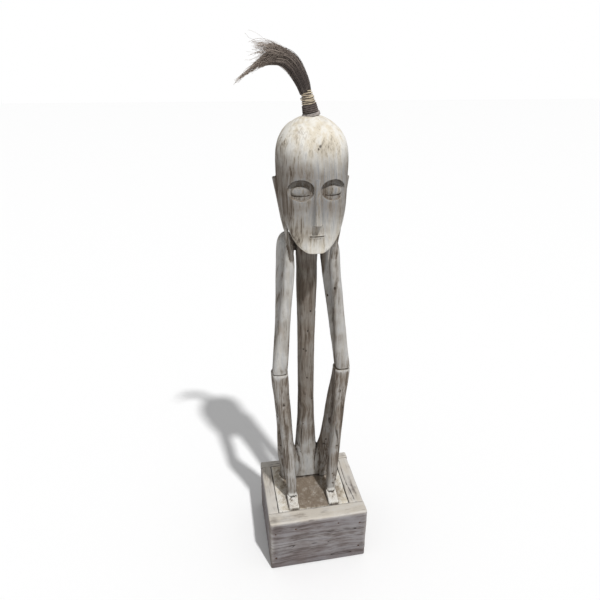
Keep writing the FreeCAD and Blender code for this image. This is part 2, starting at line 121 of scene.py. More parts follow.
# The same for the hairs that leave the bundle at its crest and run on outwards.
WISP_LINE = [
    (-0.0010, 0.0, -0.006, 0.0095),
    (-0.0060, 0.0, 0.012, 0.0105),
    (-0.0135, 0.001, 0.029, 0.0115),
    (-0.0250, 0.002, 0.0490, 0.0125),
    (-0.0400, 0.003, 0.0650, 0.0130),
    (-0.0620, 0.003, 0.0750, 0.0150),
    (-0.0920, 0.002, 0.0780, 0.0190),
    (-0.1310, 0.000, 0.0700, 0.0230),
]
HAIR_STEPS = 40                              # edges in a bundle's middle line
HAIR_SEGMENTS = 17                           # points along one hair
HAIR_SIDES = 3


# ---- Node trees -----------------------------------------------------------------------------
class Value:
    """An output of a node tree. Arithmetic on it adds Math nodes to the same tree."""

    def __init__(self, tree, socket):
        self.tree = tree
        self.socket = socket

    def math(self, operation, first, second=0.0):
        return self.tree.node("ShaderNodeMath", {"operation": operation}, {0: first, 1: second})

    def __add__(self, other):
        return self.math("ADD", self, other)

    def __radd__(self, other):
        return self.math("ADD", other, self)

    def __sub__(self, other):
        return self.math("SUBTRACT", self, other)

    def __rsub__(self, other):
        return self.math("SUBTRACT", other, self)

    def __mul__(self, other):
        return self.math("MULTIPLY", self, other)

    def __rmul__(self, other):
        return self.math("MULTIPLY", other, self)

    def __pow__(self, other):
        return self.math("POWER", self, other)

    def sine(self):
        return self.math("SINE", self)

    def cosine(self):
        return self.math("COSINE", self)

    def __abs__(self):
        return self.math("ABSOLUTE", self)

    def floor(self):
        return self.math("FLOOR", self)

    def most(self, other):
        return self.math("MAXIMUM", self, other)


class Tree:
    """A shader or geometry node tree, with one method that adds any node."""

    def __init__(self, data):
        self.data = data

    def node(self, kind, settings=None, sockets=None, output=0):
        made = self.data.nodes.new(kind)
        for name, value in (settings or {}).items():
            if name == "stops":
                self.set_stops(made.color_ramp, value)
            else:
                setattr(made, name, value)
        for key, value in (sockets or {}).items():
            if isinstance(value, Value):
                self.data.links.new(value.socket, made.inputs[key])
            else:
                made.inputs[key].default_value = value
        return Value(self, made.outputs[output]) if made.outputs else None

    @staticmethod
    def set_stops(ramp, stops):
        while len(ramp.elements) < len(stops):
            ramp.elements.new(0.5)
        for element, (place, colour) in zip(ramp.elements, stops):
            element.position = place
            element.color = opaque(colour)

    def vector(self, operation, first, second=(0.0, 0.0, 0.0), output=0):
        return self.node("ShaderNodeVectorMath", {"operation": operation}, {0: first, 1: second}, output)

    def scaled(self, vector, factor):
        return self.node("ShaderNodeVectorMath", {"operation": "SCALE"}, {0: vector, "Scale": factor})

    def combine(self, x, y, z):
        return self.node("ShaderNodeCombineXYZ", {}, {0: x, 1: y, 2: z})

    def step(self, value, low, high):
        """0 below low and 1 above high, smooth between."""
        return self.node("ShaderNodeMapRange", {"interpolation_type": "SMOOTHSTEP"},
                         {"Value": value, "From Min": low, "From Max": high})

    def mix(self, factor, first, second, blend="MIX"):
        """A colour between two others. A plain colour is three numbers."""
        first, second = (c if isinstance(c, Value) else opaque(c) for c in (first, second))
        return self.node("ShaderNodeMix", {"data_type": "RGBA", "blend_type": blend},
                         {0: factor, 6: first, 7: second}, 2)

    def stretched(self, vector, scale, location=(0.0, 0.0, 0.0)):
        return self.node("ShaderNodeMapping", {}, {"Vector": vector, "Scale": scale, "Location": location})

    def noise(self, vector, scale, detail=3.0, roughness=0.55, output=0):
        return self.node("ShaderNodeTexNoise", {},
                         {"Vector": vector, "Scale": scale, "Detail": detail, "Roughness": roughness}, output)

    def drift(self, vector, scale, detail=1.0):
        """A steady random step of up to half a unit each way along each axis."""
        return self.vector("SUBTRACT", self.noise(vector, scale, detail, output="Color"), (0.5, 0.5, 0.5))

    def attribute(self, name):
        return self.node("ShaderNodeAttribute", {"attribute_name": name}, output="Fac")


def opaque(colour):
    return (*tuple(colour)[:3], 1.0)


def shaded(colour, share):
    return tuple(part * share for part in colour)


def new_material(name):
    """A material with an empty tree, and the place on the object, for its patterns to read."""
    material = bpy.data.materials.new(name)
    material.use_nodes = True
    material.node_tree.nodes.clear()
    tree = Tree(material.node_tree)
    return material, tree, tree.node("ShaderNodeTexCoord", output="Object")


def finish_surface(tree, colour, roughness, height, relief, settings=None):
    """Ends a material: a rough surface of that colour, bumped by height over relief metres."""
    bump = tree.node("ShaderNodeBump", {}, {"Height": height, "Distance": relief, "Strength": 1.0})
    sockets = {"Base Color": colour, "Roughness": roughness, "Normal": bump, "Specular IOR Level": 0.25}
    sockets.update(settings or {})
    shader = tree.node("ShaderNodeBsdfPrincipled", {}, sockets)
    tree.node("ShaderNodeOutputMaterial", {}, {"Surface": shader})


# ---- Meshes ---------------------------------------------------------------------------------
SEWING_DISTANCE = 2e-6


def new_object(name, mesh):
    made = bpy.data.objects.new(name, mesh)
    bpy.context.scene.collection.objects.link(made)
    return made


def applied(made):
    """Turns an object with modifiers into a plain mesh."""
    graph = bpy.context.evaluated_depsgraph_get()
    mesh = bpy.data.meshes.new_from_object(made.evaluated_get(graph), preserve_all_data_layers=True,
                                           depsgraph=graph)
    made.modifiers.clear()
    old, made.data = made.data, mesh
    mesh.name = made.name
    bpy.data.meshes.remove(old)
    return made


def sewn_together(node):
    """A CAD node's shape, with its loose triangles joined."""
    sewn = bmesh.new()
    sewn.from_mesh(frame["nodes"][node].data)
    bmesh.ops.remove_doubles(sewn, verts=sewn.verts, dist=SEWING_DISTANCE)
    return sewn


def merged_copy(node, name):
    """A new object with a CAD node's shape."""
    sewn = sewn_together(node)
    mesh = bpy.data.meshes.new(name)
    sewn.to_mesh(mesh)
    sewn.free()
    return new_object(name, mesh)


def remeshed(made, voxel):
    remesh = made.modifiers.new("Remesh", "REMESH")
    remesh.mode = "VOXEL"
    remesh.voxel_size = voxel
    return applied(made)


def decimated(made, triangles):
    have = sum(len(p.vertices) - 2 for p in made.data.polygons)
    if have > triangles:
        fewer = made.modifiers.new("Decimate", "DECIMATE")
        fewer.ratio = triangles / have
        applied(made)
    return made


def read_points(mesh):
    """Places and normals of a mesh's vertices, as rows of three numbers."""
    points = np.empty(len(mesh.vertices) * 3)
    normals = np.empty(len(mesh.vertices) * 3)
    mesh.vertices.foreach_get("co", points)
    mesh.vertex_normals.foreach_get("vector", normals)
    return points.reshape(-1, 3), normals.reshape(-1, 3)


def write_points(mesh, points):
    mesh.vertices.foreach_set("co", points.ravel())
    mesh.update()


def store(mesh, name, values):
    attribute = mesh.attributes.new(name, "FLOAT", "POINT")
    attribute.data.foreach_set("value", np.clip(values, 0.0, 1.0).astype(np.float32))


def smooth_shaded(mesh):
    mesh.polygons.foreach_set("use_smooth", np.ones(len(mesh.polygons), bool))


def hollows(mesh, depth, rounds=14):
    """1 in dents and grooves of that depth, 0 on ridges as high and 0.5 where the mesh is flat."""
    points, normals = read_points(mesh)
    edges = np.empty(len(mesh.edges) * 2, np.int32)
    mesh.edges.foreach_get("vertices", edges)
    first, second = edges.reshape(-1, 2).T
    count = np.bincount(edges, minlength=len(points)).clip(1)
    relaxed = points
    for _ in range(rounds):
        relaxed = np.stack([
            (np.bincount(first, relaxed[second, axis], len(points))
             + np.bincount(second, relaxed[first, axis], len(points))) / count
            for axis in range(3)], axis=1)
    return 0.5 + ((relaxed - points) * normals).sum(axis=1) / (2 * depth)


# ---- Steady random patterns -----------------------------------------------------------------
def lattice(cell, seed):
    """A random number from 0 to 1 for each whole-numbered cell, the same on every run."""
    x, y, z = cell.astype(np.int64).astype(np.uint64).T
    mixed = x * np.uint64(73856093) ^ y * np.uint64(19349663) ^ z * np.uint64(83492791)
    mixed = (mixed + np.uint64(seed * 7919 + 17)) * np.uint64(0x9E3779B97F4A7C15)
    mixed ^= mixed >> np.uint64(29)
    mixed *= np.uint64(0xBF58476D1CE4E5B9)
    mixed ^= mixed >> np.uint64(32)
    return (mixed & np.uint64(0xFFFFFF)).astype(float) / 0xFFFFFF


def noise(points, size, seed):
    """Smooth random heights from -1 to 1, with bumps about size across: one length, or one per axis."""
    place = points / np.asarray(size) + 500
    cell = np.floor(place)
    part = place - cell
    part = part * part * (3 - 2 * part)
    total = np.zeros(len(points))
    for corner in itertools.product((0, 1), repeat=3):
        weight = np.where(corner, part, 1 - part).prod(axis=1)
        total += weight * lattice(cell + corner, seed)
    return total * 2 - 1


def cuts(points, size, seed):
    """Strokes of a blade: 1 in the middle of each cut and 0 on the ridges between them."""
    place = points / np.asarray(size) + 500
    cell = np.floor(place)
    nearest = np.full(len(points), 9.0)
    for shift in itertools.product((-1, 0, 1), repeat=3):
        other = cell + shift
        middle = other + np.stack([lattice(other, seed + i) for i in range(3)], axis=1)
        nearest = np.minimum(nearest, ((middle - place) ** 2).sum(axis=1))
    return 1 - np.minimum(1.0, nearest)


def ramp(values, low, high):
    """0 below low and 1 above high, smooth between. high may be the lower of the two."""
    share = np.clip((values - low) / (high - low), 0.0, 1.0)
    return share * share * (3 - 2 * share)


def checks(points, size, width, seed):
    """Drying cracks along the grain: 1 in the middle of a crack and 0 away from it."""
    near = 1 - np.minimum(1.0, np.abs(noise(points, size, seed)) / width)
    there = ramp(noise(points, np.asarray(size) * 1.7, seed + 50), 0.05, 0.35)
    return near * there


# ---- Settings -------------------------------------------------------------------------------
def length(name, description, default):
    return bpy.props.FloatProperty(name=name, description=description, default=default, unit="LENGTH",
                                   precision=5)


def colour(name, description, default):
    return bpy.props.FloatVectorProperty(name=name, description=description, default=default, size=3,
                                         subtype="COLOR", min=0.0, max=1.0)


def amount(name, description, default):
    return bpy.props.FloatProperty(name=name, description=description, default=default)


def count(name, description, default):
    return bpy.props.IntProperty(name=name, description=description, default=default, min=1)


class LogSettings(bpy.types.PropertyGroup):
    """The carved log."""

    voxel: length("Detail", "Smallest detail kept in the carved wood", 0.0017)
    triangles: count("Triangles", "Most triangles in the finished log", 185000)
    wave: length("Unevenness", "Slow swelling of the carved surfaces", 0.0011)
    cut: length("Knife cuts", "Depth of the blade's strokes", 0.0007)
    check: length("Checks", "Depth of the drying cracks", 0.0022)
    dark: colour("Dark wood", "Wood under the wash, at its darkest", (0.090, 0.070, 0.053))
    light: colour("Light wood", "Wood under the wash, at its lightest", (0.235, 0.190, 0.150))
    grey: colour("Weathered wood", "Bare wood silvered by the weather", (0.245, 0.222, 0.195))
    cream: colour("Wash", "Limewash where it is yellowed", (0.690, 0.625, 0.510))
    chalk: colour("Fresh wash", "Limewash where it is whitest", (0.790, 0.765, 0.705))
    cool: colour("Cool wash", "Limewash where the weather has greyed it", (0.620, 0.620, 0.615))
    blue: colour("Thin wash", "Limewash worn thin over dark grain", (0.235, 0.235, 0.238))
    stain: colour("Stain", "Brown that has risen through the wash", (0.285, 0.225, 0.165))
    # This dark colour is old dirt, and also painted shade in the hollows and along the lid and lip lines.
    dirt_and_shade: colour("Dirt", "Old dirt in the hollows", (0.030, 0.023, 0.018))


class BoardSettings(bpy.types.PropertyGroup):
    """The four boards round the plinth."""

    voxel: length("Detail", "Smallest detail kept in the boards", 0.0022)
    triangles: count("Triangles", "Most triangles in one board", 40000)
    wave: length("Unevenness", "Slow swelling of the sawn faces", 0.0009)
    check: length("Checks", "Depth of the drying cracks", 0.0026)
    dark: colour("Dark wood", "Wood under the wash, at its darkest", (0.098, 0.080, 0.078))
    light: colour("Light wood", "Wood under the wash, at its lightest", (0.200, 0.168, 0.158))
    grey: colour("Weathered wood", "Bare wood silvered by the weather", (0.200, 0.188, 0.195))
    cream: colour("Wash", "Limewash where it is yellowed", (0.560, 0.500, 0.410))
    chalk: colour("Fresh wash", "Limewash where it is whitest", (0.640, 0.610, 0.560))
    cool: colour("Cool wash", "Limewash where the weather has greyed it", (0.520, 0.490, 0.450))
    blue: colour("Thin wash", "Limewash worn thin over dark grain", (0.262, 0.250, 0.262))
    stain: colour("Stain", "Brown that has risen through the wash", (0.175, 0.138, 0.110))
    # This dark colour is old dirt, and also painted shade in the boards' hollows.
    dirt_and_shade: colour("Dirt", "Old dirt in the hollows", (0.022, 0.017, 0.014))


class NailSettings(bpy.types.PropertyGroup):
    """The nails that hold the boards."""

    shank_radius: length("Shank radius", "Radius of a nail's shank", 0.0019)
    head_radius: length("Head radius", "Radius of a nail's head", 0.0034)
    head_height: length("Head thickness", "Thickness of a nail's head", 0.0015)
    iron: colour("Iron", "Dark worn iron", (0.030, 0.026, 0.024))
    rust: colour("Rust", "Rust on the iron", (0.150, 0.060, 0.026))


class BindingSettings(bpy.types.PropertyGroup):
    """The cords and rattan wound round the root of the hair."""

    collar_radius: length("Collar cord radius", "Radius of the cord in the crown", 0.0019)
    collar_turns: amount("Collar turns", "Turns of the cord in the crown", 2.1)
    cord_radius: length("Dark cord radius", "Radius of the dark cord", 0.0017)
    cord_turns: amount("Dark cord turns", "Turns of the dark cord", 4.2)
    rattan_width: length("Rattan width", "Half the width of a split of rattan", 0.00115)
    rattan_turns: amount("Rattan turns", "Turns of split rattan", 6.3)
    collar: colour("Collar cord", "Dusty cord", (0.600, 0.540, 0.505))
    dark: colour("Dark cord", "Dark cord", (0.200, 0.165, 0.150))
    straw: colour("Rattan", "Split rattan", (0.640, 0.545, 0.395))
    husk: colour("Rattan husk", "Darker skin on the rattan", (0.250, 0.200, 0.145))


class HairSettings(bpy.types.PropertyGroup):
    """The tuft of hair and its peg."""

    strands: count("Strands", "Hairs in each half of the bundle", 1700)
    wisps: count("Wisps", "Hairs that spring away over the crest", 420)
    tails: count("Tail", "Hairs that run on to the tip", 130)
    strays: count("Stray hairs", "Loose hairs that fan out of it", 110)
    radius: length("Hair radius", "Radius of a hair", 0.00040)
    root: colour("Root", "Hair at the binding", (0.085, 0.068, 0.062))
    middle: colour("Middle", "Hair half-way along", (0.190, 0.148, 0.123))
    tip: colour("Tips", "Bleached ends", (0.420, 0.355, 0.300))
    peg: colour("Peg", "Whittled wood of the peg", (0.340, 0.230, 0.140))


class StageSettings(bpy.types.PropertyGroup):
    """The floor, the light and the camera."""

    floor: colour("Floor", "Pale floor", (0.92, 0.92, 0.92))
    floor_half: length("Floor size", "Half the width of the floor", 30.0)
    sun: amount("Key light", "Strength of the key light", 2.5)
    sky: amount("Sky", "Strength of the light from all round", 0.42)


# ---- Wood -----------------------------------------------------------------------------------
RING_WIDTH = 0.0046                          # of one year's growth
FIBRE_DRAW = 0.045                           # scale along the fibres, to 1 across them
BOARD_HEART = Vector((0.0, 0.0, -0.30))      # of the tree that the boards were sawn from
BROW_KNOTS = ((0.006, -0.072, CROWN - 0.058, 0.0042), (0.002, -0.073, CROWN - 0.063, 0.0028))
LIMB_KNOTS = 26
TRUNK_KNOTS = 9
BOARD_DRAW = 9.0                             # how much longer a board's patterns are along its fibres
WORN_EDGE = 0.007                            # how far down its top edges a board is worn
MOST_SWELLING = 0.0006                       # out of a board, so that it stays off its neighbours


def drawn_out(axis, along):
    """A pattern's scales: 1 across the fibres, and less along the axis that they run on."""
    return tuple(along if i == axis else 1.0 for i in range(3))


def limed_wood(name, paint, axis, heart=BOARD_HEART, wear=1.0):
    """Old limewashed wood with its fibres along an axis, patchier with more wear."""
    material, tree, place = new_material(name)
    lime, hollow, end, thin, split = (tree.attribute(n) for n in ("lime", "hollow", "end", "thin", "split"))

    bent = tree.vector("ADD", place, tree.scaled(tree.drift(place, 6.0, 2.0), 0.03))
    grain = drawn_out(axis, FIBRE_DRAW)
    fibres = tree.stretched(bent, grain)
    fibre = tree.noise(fibres, 380.0, 4.0, 0.6)
    streak = tree.noise(fibres, 80.0, 3.0, 0.6)
    band = tree.noise(fibres, 26.0, 2.0)
    blot = tree.noise(place, 15.0, 4.0, 0.6)
    speck = tree.noise(place, 300.0, 3.0, 0.7)

    from_heart = tree.vector("LENGTH", tree.stretched(bent, grain, tuple(-heart)), output="Value")
    rings = (from_heart * (math.tau / RING_WIDTH) + band * 9.0).sine() * 0.5 + 0.5

    bare = tree.mix(tree.step(streak * 0.55 + fibre * 0.45, 0.38, 0.66), paint.dark, paint.light)
    bare = tree.mix(tree.step(blot * 0.40 + streak * 0.35 + fibre * 0.25, 0.43, 0.60), bare, paint.grey)
    bare = tree.mix(end * 0.65, bare, paint.stain)
    bare = tree.mix(rings * (end * 0.36 + 0.12), bare, paint.dark)

    # The wash holds on the ridges and has gone from the pores and the worn blots. It is also taken from the
    # hollows, which darkens them: partly wear, partly painted shade.
    patchy = (fibre - 0.5) * 1.15 + (blot - 0.5) * 0.60 + (streak - 0.5) * 0.90
    cover = tree.step(lime * 1.10 + patchy * wear - (hollow - 0.5) * 0.6, 0.22, 0.92)
    wash = tree.mix(tree.step(blot * 0.5 + streak * 0.5, 0.42, 0.58), paint.cream, paint.chalk)
    wash = tree.mix(split * 0.55, wash, paint.cool)
    wash = tree.mix(tree.step(streak * 0.4 + fibre * 0.6 + thin * 0.22, 0.50, 0.80) * thin, wash, paint.blue)
    rust = tree.noise(tree.stretched(place, drawn_out(axis, 0.35)), 22.0, 4.0, 0.6)
    risen = tree.step(rust + (fibre - 0.5) * 0.4, 0.58, 0.80) * (0.85 - thin * 0.4)
    wash = tree.mix(risen, wash, paint.stain)
    wash = tree.mix(rings * end * 0.22, wash, paint.stain)
    shown = tree.mix(cover, bare, wash)

    crack_field = tree.noise(tree.stretched(bent, drawn_out(axis, FIBRE_DRAW * 0.6)), 42.0, 1.0)
    crack = tree.step(abs(crack_field - 0.5), 0.010, 0.003) * tree.step(band, 0.50, 0.58)
    crack = crack * split * tree.step(lime, 0.75, 0.35)
    pits = tree.step(speck, 0.66, 0.74)
    # Dark marks: dirt in the cracks, pits, knots and specks, and dirt with painted shade in the hollows and
    # along the lid and lip lines.
    marks = (crack * 0.85).most(pits * 0.55).most(tree.step(hollow, 0.60, 1.0) * 0.9)
    shown = tree.mix(marks, shown, paint.dirt_and_shade)

    height = fibre * 0.45 + streak * 0.35 + rings * end * 0.2 + cover * 0.15 - pits * 0.3 - crack * 1.2
    roughness = 0.92 - cover * 0.14 - fibre * 0.08
    finish_surface(tree, shown, roughness, height, 0.0009)
    return material


def end_grain(normals, axis):
    """How squarely each point of the surface cuts across the fibres, which run along an axis."""
    return ramp(np.abs(normals[:, axis]), 0.55, 0.92)


def from_plume_axis(points):
    return np.linalg.norm(np.cross(points - np.array(SEAT), np.array(PLUME_AXIS)), axis=1)


def log_freedom(points):
    """0 on the log's hidden faces and the plume's seat, which keep their shape, and 1 elsewhere."""
    z = points[:, 2]
    seat = np.where(z > CROWN - 0.06, ramp(from_plume_axis(points), SEAT_RADIUS, SEAT_RADIUS + 0.004), 1.0)
    return np.minimum(ramp(z, PLINTH_TOP - 0.006, PLINTH_TOP - 0.001), seat)


def on_head(points):
    """1 on the head, 0 on the neck, the shoulders and all below."""
    _, y, z = points.T
    share = np.clip((z - CHIN) / HEAD_HEIGHT, 0.0, 1.0)
    back = -0.043 + 0.69 * share ** 2
    return ramp(z, CHIN - 0.004, CHIN + 0.004) * ramp(back - y, -0.004, 0.004)


def on_hands(points):
    x, y, z = points.T
    share = (z - CHIN) / HAND_LENGTH
    across = np.abs(np.abs(x) - (WRIST_OUT + HAND_SPREAD * share))
    along = np.abs(y + HAND_BACK * (1 - share))
    inside = (across < HAND_HALF_THICKNESS) & (along < 0.0205 - 0.0055 * share)
    return (inside & (share > -0.12) & (share < 1.03)).astype(float)


def on_trunk(points):
    x, y, z = points.T
    wide = TRUNK_HALF_WIDTH + 0.012 * ramp(z, 0.80, 0.92)
    side = ramp(np.abs(x), wide + 0.008, wide)
    return side * ramp(y, 0.004, 0.014) * ramp(z, PLINTH_TOP, PLINTH_TOP + 0.02)


def on_feet(points):
    x, y, z = points.T
    above = z - PLINTH_TOP
    low = ramp(above, 0.002, 0.006) * ramp(above, 0.034, 0.026)
    return ramp(np.abs(np.abs(x) - FOOT_OUT), 0.0175, 0.0150) * ramp(y, -0.048, -0.056) * low


def face_lines(points):
    """1 along the line where each closed eye's lids meet, and along the line between the lips."""
    x, y, z = points.T
    across = (np.abs(x) - EYE_OUT) / EYE_HALF_WIDTH
    lids = ramp(np.abs(z - EYE_HEIGHT + 0.0080 - 0.0035 * across ** 2), 0.0016, 0.0005)
    lids *= ramp(np.abs(across), 0.95, 0.78)
    lips = ramp(np.abs(z - MOUTH_HEIGHT), 0.0026, 0.0010)
    lips *= ramp(np.abs(x), MOUTH_HALF_WIDTH, MOUTH_HALF_WIDTH * 0.8)
    return np.maximum(lids, lips) * (y < -0.03)


def knots(points):
    """1 in the middle of each small knot, 0 away from them."""
    draw = np.random.default_rng(5)
    spots = list(BROW_KNOTS)
    for _ in range(LIMB_KNOTS):
        limb = draw.choice((-1, 1)) * draw.uniform(0.045, 0.095)
        spots.append((limb, draw.uniform(-0.075, 0.01), draw.uniform(PLINTH_TOP + 0.05, CHIN - 0.05),
                      draw.uniform(0.0022, 0.0042)))
    for _ in range(TRUNK_KNOTS):
        spots.append((draw.uniform(-0.020, 0.020), 0.025, draw.uniform(PLINTH_TOP + 0.08, CHIN - 0.05),
                      draw.uniform(0.0018, 0.0034)))
    found = np.zeros(len(points))
    ragged = 1 + 0.45 * noise(points, 0.0045, 91)
    for x, y, z, radius in spots:
        away = np.hypot(points[:, 0] - x, (points[:, 2] - z) / 1.5) * ragged
        near = np.abs(points[:, 1] - y) < 0.030
        found = np.maximum(found, near * ramp(away, radius, radius * 0.35))
    return found


def carve(mesh, log):
    """Works the log over as a blade and the weather leave it."""
    points, normals = read_points(mesh)
    z = points[:, 2]
    head = on_head(points)
    trunk = on_trunk(points)
    neck = trunk * ramp(z, CHIN - 0.11, CHIN - 0.03)
    flat = ramp(z, PLINTH_TOP + 0.012, PLINTH_TOP + 0.003)
    depth = log.wave * noise(points, (0.050, 0.050, 0.120), 1) * (1 - 0.45 * head)
    depth += 0.4 * log.wave * noise(points, (0.018, 0.018, 0.050), 2)
    stroke = cuts(points, (0.017, 0.017, 0.055), 3)
    depth -= log.cut * stroke * (1 - 0.55 * head + 1.1 * neck) * (1 - flat)
    depth -= 1.4 * log.cut * cuts(points, (0.011, 0.011, 0.022), 7) * neck
    depth += 0.12 * log.cut * noise(points, (0.0035, 0.0035, 0.040), 11)
    depth -= log.check * checks(points, (0.034, 0.034, 0.420), 0.055, 20) * (1 - head)
    depth -= 0.8 * log.check * checks(points, (0.021, 0.021, 0.210), 0.085, 23) * (0.35 * (1 - head) + trunk)
    depth -= 0.0012 * knots(points) + 0.0009 * face_lines(points)
    # Radial cracks and a sunken heart where the log's end grain is open between the feet.
    away = np.hypot(points[:, 0] - PITH.x, points[:, 1] - PITH.y)
    angle = np.arctan2(points[:, 1] - PITH.y, points[:, 0] - PITH.x)
    ray = 1 - np.minimum(1.0, np.abs(np.sin(angle * 3.5 + 1.3 * noise(points, 0.05, 31))) * away / 0.0016)
    depth -= flat * ray * 0.0016 * ramp(away, 0.085, 0.030)
    depth -= flat * 0.0012 * ramp(away, 0.040, 0.010)
    write_points(mesh, points + normals * (depth * log_freedom(points))[:, None])


def paint_log(mesh):
    """Marks where the wash lies thick or thin, where dirt and painted shade sit and where the end grain
    shows.
    """
    points, normals = read_points(mesh)
    x, y, z = points.T
    head, hands, trunk, feet = on_head(points), on_hands(points), on_trunk(points), on_feet(points)
    face = (z - CHIN) / HEAD_HEIGHT
    up = np.clip(normals[:, 2], 0.0, 1.0)
    front = np.clip(-normals[:, 1], 0.0, 1.0)
    arm = ramp(z, KNEE - 0.02, KNEE + 0.06)
    limb = 0.15 + 0.29 * arm + 0.13 * front + 0.20 * noise(points, (0.03, 0.03, 0.16), 61)
    lime = limb * (1 - trunk) + trunk * (0.60 * ramp(z, PLINTH_TOP + 0.32, PLINTH_TOP + 0.05)
                                         - 0.10 * ramp(z, CHIN - 0.15, CHIN))
    lips = ramp(np.abs(z - KNEE + 0.0035), 0.0042, 0.0018) * front * (1 - trunk)
    top = ramp(z, PLINTH_TOP + 0.006, PLINTH_TOP + 0.002) * up
    from_heart = np.hypot(x - PITH.x, y - PITH.y)
    lime = lime * (1 - lips) + 0.62 * lips
    soiled = ramp(from_heart, 0.105, 0.050)
    lime = lime * (1 - top) + top * (0.70 - 0.46 * soiled + 0.14 * noise(points, 0.014, 97))
    lime = lime * (1 - feet) + feet * (0.74 - 0.30 * front * ramp(z, PLINTH_TOP + 0.012, PLINTH_TOP + 0.003))
    # Over the head the wash is thickest at the crown and the chin and thinner towards the back and the sides.
    # The thinner wash at the sides is partly painted shade, and the extra thinning on the left side, away
    # from the key light, is painted shade.
    over_face = 0.50 + 0.42 * ramp(face, 0.56, 1.06) + 0.18 * ramp(face, 0.42, 0.0)
    over_face -= 0.20 * ramp(y, 0.000, 0.060) + 0.14 * ramp(np.abs(x), 0.045, 0.075)
    over_face -= 0.10 * ramp(-x, 0.010, 0.055)
    lime = lime * (1 - head) + over_face * head
    lime = lime * (1 - hands) + 0.30 * hands
    store(mesh, "lime", lime)
    worn = 0.75 * (1 - head) + head * (1.0 - 0.90 * ramp(face, 0.58, 1.00) - 0.50 * ramp(face, 0.42, 0.0))
    store(mesh, "thin", worn * (1 - feet) * (1 - 0.7 * top))
    store(mesh, "end", end_grain(normals, 2))
    store(mesh, "split", (1 - head) * (1 - top))
    # The hollow mark: dirt and painted shade in the dents and grooves, found from the mesh's concavity.
    dents = (hollows(mesh, 0.0020) - 0.5) * (1 - 0.50 * head) * (1 - 0.75 * top)
    specks = ramp(noise(points, 0.0042, 95), 0.36, 0.62) * feet
    # Painted shade along the lid and lip lines; the knots and the feet's specks are the wood's own dark
    # marks.
    marks = 0.50 * knots(points) * (1 - 0.45 * head) + 0.35 * face_lines(points) + 0.50 * specks
    store(mesh, "hollow", 0.5 + dents + marks)


def dress_board(mesh, board, axis, seed):
    """Weathers a board whose fibres run along an axis, and marks its wash."""
    points, normals = read_points(mesh)
    drawn = np.ones(3)
    drawn[axis] = BOARD_DRAW
    free = ramp(points[:, 2], 0.0005, 0.006)
    depth = board.wave * noise(points, 0.030 * drawn, seed)
    depth += 0.35 * board.wave * noise(points, 0.0075 * drawn, seed + 1)
    depth -= board.check * checks(points, 0.022 * drawn, 0.055, seed + 2)
    high = points[:, 2] > PLINTH_TOP - WORN_EDGE
    depth -= np.where(high, 0.0012 * ramp(noise(points, (0.018, 0.018, 0.018), seed + 4), 0.1, 0.7), 0.0)
    write_points(mesh, points + normals * (np.minimum(depth, MOST_SWELLING) * free)[:, None])
    points, normals = read_points(mesh)
    up = np.clip(normals[:, 2], 0.0, 1.0)
    height = points[:, 2] / PLINTH_TOP
    flat = ramp(up, 0.55, 0.92)
    lime = 0.20 + 0.12 * ramp(height, 0.05, 0.45) + 0.12 * noise(points, 0.05 * drawn, seed + 5)
    lime += flat * (0.46 + 0.34 * noise(points, 0.026, seed + 6) + 0.14 * noise(points, 0.009, seed + 7))
    store(mesh, "lime", lime - 0.30 * ramp(height, 0.14, 0.0))
    store(mesh, "thin", 0.9 * (1 - up))
    store(mesh, "end", end_grain(normals, axis))
    store(mesh, "split", np.ones(len(points)))
    # Dirt and painted shade in the boards' dents and grooves, from the mesh's concavity.
    store(mesh, "hollow", hollows(mesh, 0.0016))


def build_log(log):
    made = remeshed(merged_copy("carved_figure", "log_carving"), log.voxel * COARSER)
    carve(made.data, log)
    decimated(made, log.triangles // FEWER)
    paint_log(made.data)
    smooth_shaded(made.data)
    made.data.materials.append(limed_wood("log_wood", log, 2, PITH))
    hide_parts("carved_figure")
    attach(made, "figure")


def build_boards(board):
    for seed, (side, axis) in enumerate((("front", 0), ("back", 0), ("left", 1), ("right", 1))):
        node = side + "_board"
        made = remeshed(merged_copy(node, side + "_plank"), board.voxel * COARSER)
        dress_board(made.data, board, axis, 100 + 20 * seed)
        decimated(made, board.triangles)
        smooth_shaded(made.data)
        made.data.materials.append(limed_wood(side + "_board_wood", board, axis, wear=0.60))
        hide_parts(node)
        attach(made, "figure")


# ---- Geometry from node trees ---------------------------------------------------------------
FULL_TURN = 6.283
NAIL_ROLL = 6.28                             # the most that a nail is turned about its own length


def grown(name, mesh, inputs, build, values):
    """A plain mesh object made by a node tree: named inputs go in, build adds the nodes."""
    data = bpy.data.node_groups.new(name, "GeometryNodeTree")
    kinds = {"Geometry": "NodeSocketGeometry", **inputs, "Material": "NodeSocketMaterial"}
    for label, kind in kinds.items():
        data.interface.new_socket(name=label, in_out="INPUT", socket_type=kind)
    data.interface.new_socket(name="Geometry", in_out="OUTPUT", socket_type="NodeSocketGeometry")
    tree = Tree(data)
    entry = data.nodes.new("NodeGroupInput")
    given = {socket.name: Value(tree, socket) for socket in entry.outputs if socket.name}
    whole = tree.node("GeometryNodeRealizeInstances", {}, {"Geometry": build(tree, given)})
    painted = tree.node("GeometryNodeSetMaterial", {}, {"Geometry": whole, "Material": given["Material"]})
    tree.node("NodeGroupOutput", {}, {0: painted})

    made = new_object(name, mesh)
    modifier = made.modifiers.new(name, "NODES")
    modifier.node_group = data
    for item in data.interface.items_tree:
        if item.in_out == "INPUT" and item.name in values:
            modifier[item.identifier] = values[item.name]
    return applied(made)


def islands(node):
    """The separate solids of a CAD node, always in the same order, as their boxes' end corners."""
    sewn = sewn_together(node)
    left = set(sewn.verts)
    boxes = []
    for first in sewn.verts:
        if first not in left:
            continue
        left.remove(first)
        queue, reached = [first], [first.co.copy()]
        while queue:
            for edge in queue.pop().link_edges:
                for vert in edge.verts:
                    if vert in left:
                        left.remove(vert)
                        queue.append(vert)
                        reached.append(vert.co.copy())
        boxes.append((Vector(map(min, *reached)), Vector(map(max, *reached))))
    sewn.free()
    return boxes


